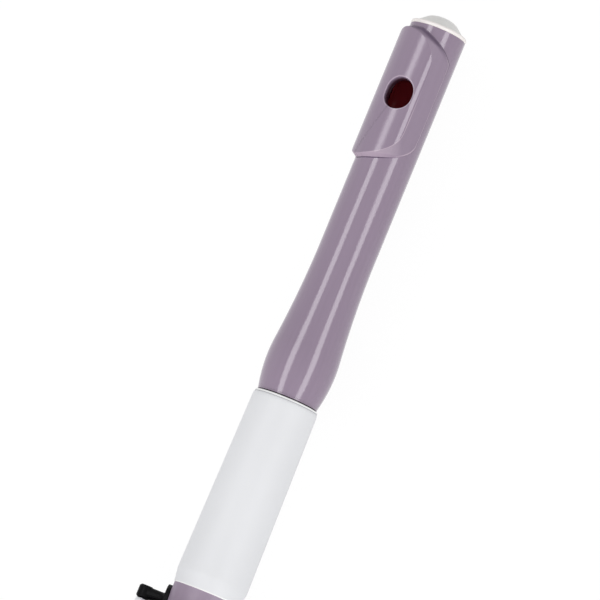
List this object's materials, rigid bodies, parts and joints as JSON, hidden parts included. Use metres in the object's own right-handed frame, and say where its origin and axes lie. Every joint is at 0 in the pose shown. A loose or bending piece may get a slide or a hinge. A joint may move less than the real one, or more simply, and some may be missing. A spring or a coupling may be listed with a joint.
{
  "type": "flute",
  "caption": "Moulded plastic concert flute in C: mauve head joint with raised lip plate, white barrel and keys, black posts on steel rods.",
  "frame": {"origin": "on the bore axis at the open end of the foot joint", "axes": "+X along the bore from the crown to the open end, +Z toward the embouchure hole and the key cups, -Y toward the player"},
  "size_m": [0.6329, 0.0703, 0.0442],
  "materials": {
    "mauve_plastic": "glossy moulded mauve plastic",
    "white_plastic": "satin moulded white plastic",
    "black_plastic": "moulded black plastic",
    "steel": "drawn steel",
    "pad": "soft pad",
    "o_ring": "black rubber"
  },
  "bodies": {
    "body": {"barrel": "white_plastic", "body_tube": "mauve_plastic", "left_hand_rib": "black_plastic", "right_hand_rib": "black_plastic", "g_posts": "black_plastic", "trill_posts": "black_plastic", "thumb_rib": "black_plastic", "g_sharp_rib": "black_plastic", "left_hand_rod": "steel", "right_hand_rod": "steel", "g_rod": "steel", "thumb_rod": "steel", "g_sharp_rod": "steel", "needle_springs": "steel"},
    "tenon_seals": {"tenon_o_rings": "o_ring"},
    "head": {"head_tube": "mauve_plastic", "lip_plate": "mauve_plastic"},
    "crown": {"crown": "white_plastic"},
    "stopper": {"stopper": "white_plastic", "stopper_o_ring": "o_ring"},
    "c_sharp": {"c_sharp_key": "white_plastic", "c_sharp_pad": "pad"},
    "b_flat": {"b_flat_key": "white_plastic", "b_flat_pad": "pad"},
    "a": {"a_key": "white_plastic", "a_pad": "pad"},
    "g": {"g_key": "white_plastic", "g_pads": "pad"},
    "thumb": {"thumb_key": "white_plastic", "thumb_pad": "pad"},
    "thumb_b_flat": {"thumb_b_flat_lever": "white_plastic"},
    "g_sharp": {"g_sharp_key": "white_plastic", "g_sharp_pad": "pad"},
    "f_sharp": {"f_sharp_key": "white_plastic", "f_sharp_pad": "pad"},
    "f": {"f_key": "white_plastic", "f_pad": "pad"},
    "e": {"e_key": "white_plastic", "e_pad": "pad"},
    "d": {"d_key": "white_plastic", "d_pad": "pad"},
    "d_trill": {"d_trill_key": "white_plastic", "d_trill_pad": "pad"},
    "d_sharp_trill": {"d_sharp_trill_key": "white_plastic", "d_sharp_trill_rod": "steel", "d_sharp_trill_pad": "pad"},
    "foot": {"foot_tube": "mauve_plastic", "foot_rib": "black_plastic", "foot_springs": "steel"},
    "e_flat": {"e_flat_key": "white_plastic", "e_flat_pad": "pad"},
    "low_c_sharp": {"low_c_sharp_key": "white_plastic", "low_c_sharp_pad": "pad"},
    "low_c": {"low_c_key": "white_plastic", "low_c_rod": "steel", "low_c_pad": "pad"}
  },
  "joints": [
    {"name": "tuning_slide", "type": "slide", "parent": "body", "child": "tenon_seals", "axis": [-1, 0, 0], "range_m": [0, 0.01]},
    {"name": "head_turn", "type": "hinge", "parent": "tenon_seals", "child": "head", "pos_m": [0, 0, 0], "axis": [1, 0, 0], "continuous": true},
    {"name": "crown_turn", "type": "hinge", "parent": "head", "child": "crown", "pos_m": [0, 0, 0], "axis": [1, 0, 0], "range_deg": [-180, 180]},
    {"name": "stopper_slide", "type": "slide", "parent": "head", "child": "stopper", "axis": [1, 0, 0], "range_m": [-0.000399, 0.000399]},
    {"name": "c_sharp_press", "type": "hinge", "parent": "body", "child": "c_sharp", "pos_m": [0, -0.01719, 0.01116], "axis": [-1, 0, 0], "range_deg": [0, 8], "stiffness_Nm_per_rad": 0.008, "springref_deg": -22.92},
    {"name": "b_flat_press", "type": "hinge", "parent": "body", "child": "b_flat", "pos_m": [0, -0.01719, 0.01116], "axis": [-1, 0, 0], "range_deg": [0, 8], "stiffness_Nm_per_rad": 0.008, "springref_deg": -22.92},
    {"name": "a_press", "type": "hinge", "parent": "body", "child": "a", "pos_m": [0, -0.01719, 0.01116], "axis": [-1, 0, 0], "range_deg": [0, 8], "stiffness_Nm_per_rad": 0.008, "springref_deg": -22.92},
    {"name": "g_press", "type": "hinge", "parent": "body", "child": "g", "pos_m": [0, -0.01234, 0.01637], "axis": [-1, 0, 0], "range_deg": [0, 8], "stiffness_Nm_per_rad": 0.008, "springref_deg": -22.92},
    {"name": "thumb_press", "type": "hinge", "parent": "body", "child": "thumb", "pos_m": [0, 0.00599, -0.0196], "axis": [-1, 0, 0], "range_deg": [0, 8], "stiffness_Nm_per_rad": 0.008, "springref_deg": -22.92},
    {"name": "thumb_b_flat_press", "type": "hinge", "parent": "body", "child": "thumb_b_flat", "pos_m": [0, 0.00599, -0.0196], "axis": [-1, 0, 0], "range_deg": [0, 8], "stiffness_Nm_per_rad": 0.008, "springref_deg": -22.92},
    {"name": "g_sharp_open", "type": "hinge", "parent": "body", "child": "g_sharp", "pos_m": [0, 0.00801, -0.01887], "axis": [-1, 0, 0], "range_deg": [0, 7], "stiffness_Nm_per_rad": 0.008, "springref_deg": -22.92},
    {"name": "f_sharp_press", "type": "hinge", "parent": "body", "child": "f_sharp", "pos_m": [0, -0.01719, 0.01116], "axis": [-1, 0, 0], "range_deg": [0, 8], "stiffness_Nm_per_rad": 0.008, "springref_deg": -22.92},
    {"name": "f_press", "type": "hinge", "parent": "body", "child": "f", "pos_m": [0, -0.01719, 0.01116], "axis": [-1, 0, 0], "range_deg": [0, 8], "stiffness_Nm_per_rad": 0.008, "springref_deg": -22.92},
    {"name": "e_press", "type": "hinge", "parent": "body", "child": "e", "pos_m": [0, -0.01719, 0.01116], "axis": [-1, 0, 0], "range_deg": [0, 8], "stiffness_Nm_per_rad": 0.008, "springref_deg": -22.92},
    {"name": "d_press", "type": "hinge", "parent": "body", "child": "d", "pos_m": [0, -0.01719, 0.01116], "axis": [-1, 0, 0], "range_deg": [0, 8], "stiffness_Nm_per_rad": 0.008, "springref_deg": -22.92},
    {"name": "d_trill_open", "type": "hinge", "parent": "body", "child": "d_trill", "pos_m": [0, -0.02118, 0.00223], "axis": [1, 0, 0], "range_deg": [0, 7], "stiffness_Nm_per_rad": 0.008, "springref_deg": -22.92},
    {"name": "d_sharp_trill_open", "type": "hinge", "parent": "body", "child": "d_sharp_trill", "pos_m": [0, -0.02118, 0.00223], "axis": [1, 0, 0], "range_deg": [0, 7], "stiffness_Nm_per_rad": 0.008, "springref_deg": -22.92},
    {"name": "foot_turn", "type": "hinge", "parent": "body", "child": "foot", "pos_m": [0, 0, 0], "axis": [1, 0, 0], "continuous": true},
    {"name": "e_flat_open", "type": "hinge", "parent": "foot", "child": "e_flat", "pos_m": [0, -0.01719, 0.01116], "axis": [1, 0, 0], "range_deg": [0, 7], "stiffness_Nm_per_rad": 0.008, "springref_deg": -22.92},
    {"name": "low_c_sharp_press", "type": "hinge", "parent": "foot", "child": "low_c_sharp", "pos_m": [0, -0.01719, 0.01116], "axis": [-1, 0, 0], "range_deg": [0, 8], "stiffness_Nm_per_rad": 0.008, "springref_deg": -22.92},
    {"name": "low_c_press", "type": "hinge", "parent": "foot", "child": "low_c", "pos_m": [0, -0.01719, 0.01116], "axis": [-1, 0, 0], "range_deg": [0, 8], "stiffness_Nm_per_rad": 0.008, "springref_deg": -22.92}
  ],
  "couplings": [
    {"joint": "crown_turn", "follows": "stopper_slide", "rad_per_m": 7854},
    {"joint": "b_flat_press", "follows": "a_press", "ratio": 1},
    {"joint": "f_sharp_press", "follows": "f_press", "ratio": 1}
  ]
}
